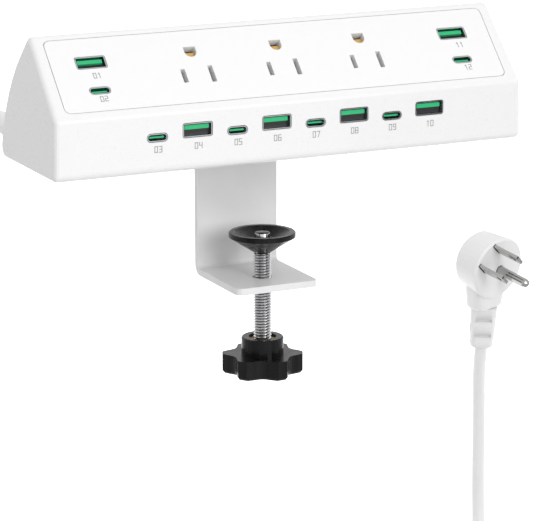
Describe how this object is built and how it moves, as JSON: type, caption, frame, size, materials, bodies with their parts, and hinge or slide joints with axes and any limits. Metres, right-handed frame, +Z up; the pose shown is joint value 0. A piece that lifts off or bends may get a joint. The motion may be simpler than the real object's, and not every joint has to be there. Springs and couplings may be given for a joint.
{
  "type": "desk power strip",
  "caption": "White desk-edge power strip with a slanted outlet panel, USB ports, a steel screw clamp with a star knob, and a white cord with a flat angled mains plug.",
  "frame": {"origin": "Middle of the foot pad's underside, the face that rests on the desk top.", "axes": "+X along the housing to the user's right, +Y away from the user to the rear, +Z up out of the desk."},
  "size_m": [0.3236, 0.1966, 0.3395],
  "materials": {
    "white_plastic": "satin to glossy moulded, very fine orange peel",
    "panel_plastic": "satin moulded",
    "foot_rubber": "matt",
    "plated_steel": "plated, slightly dull",
    "green_plastic": "moulded insert",
    "brass": "stamped, half bright",
    "circuit_board": "solder mask",
    "transformer_core": "taped winding and core",
    "capacitor_can": "sleeved can",
    "powder_coat": "fine white powder coat",
    "bright_steel": "bright rolled thread",
    "black_plastic": "satin black moulded",
    "cord_pvc": "satin PVC",
    "nickel_plate": "nickel plated"
  },
  "bodies": {
    "strip": {"housing_shell": "white_plastic", "base_cover": "white_plastic", "cable_gland": "white_plastic", "outlet_panel": "panel_plastic", "foot_pad": "foot_rubber", "base_screw_1": "plated_steel", "base_screw_2": "plated_steel", "base_screw_3": "plated_steel", "base_screw_4": "plated_steel", "bracket_screw_1": "plated_steel", "bracket_screw_2": "plated_steel", "usb_a_shell_1": "plated_steel", "usb_a_shell_2": "plated_steel", "usb_a_shell_3": "plated_steel", "usb_a_shell_4": "plated_steel", "usb_a_shell_5": "plated_steel", "usb_a_shell_6": "plated_steel", "usb_c_shell_1": "plated_steel", "usb_c_shell_2": "plated_steel", "usb_c_shell_3": "plated_steel", "usb_c_shell_4": "plated_steel", "usb_c_shell_5": "plated_steel", "usb_c_shell_6": "plated_steel", "usb_a_tongue_1": "green_plastic", "usb_a_tongue_2": "green_plastic", "usb_a_tongue_3": "green_plastic", "usb_a_tongue_4": "green_plastic", "usb_a_tongue_5": "green_plastic", "usb_a_tongue_6": "green_plastic", "usb_c_tongue_1": "green_plastic", "usb_c_tongue_2": "green_plastic", "usb_c_tongue_3": "green_plastic", "usb_c_tongue_4": "green_plastic", "usb_c_tongue_5": "green_plastic", "usb_c_tongue_6": "green_plastic", "line_bus_bar": "brass", "neutral_bus_bar": "brass", "ground_bus_bar": "brass", "front_usb_board": "circuit_board", "left_usb_board": "circuit_board", "right_usb_board": "circuit_board", "power_board": "circuit_board", "transformer": "transformer_core", "capacitor": "capacitor_can", "clamp_bracket": "powder_coat", "cord_drop": "cord_pvc", "cord_coil": "cord_pvc", "cord_riser": "cord_pvc", "plug_body": "cord_pvc", "plug_boot": "cord_pvc", "plug_line_blade": "nickel_plate", "plug_neutral_blade": "nickel_plate", "plug_ground_pin": "nickel_plate"},
    "pad": {"clamp_pad": "black_plastic"},
    "screw": {"clamp_screw": "bright_steel", "clamp_knob": "black_plastic", "knob_insert": "brass"}
  },
  "joints": [
    {"name": "clamp_feed", "type": "slide", "parent": "strip", "child": "pad", "axis": [0, 0, 1], "range_m": [-0.0112, 0.0234]},
    {"name": "knob_turn", "type": "hinge", "parent": "pad", "child": "screw", "pos_m": [0, 0.0071, -0.09], "axis": [0, 0, 1], "range_deg": [-3220, 6730]}
  ],
  "couplings": [
    {"joint": "clamp_feed", "follows": "knob_turn", "m_per_rad": 0.00019894}
  ]
}
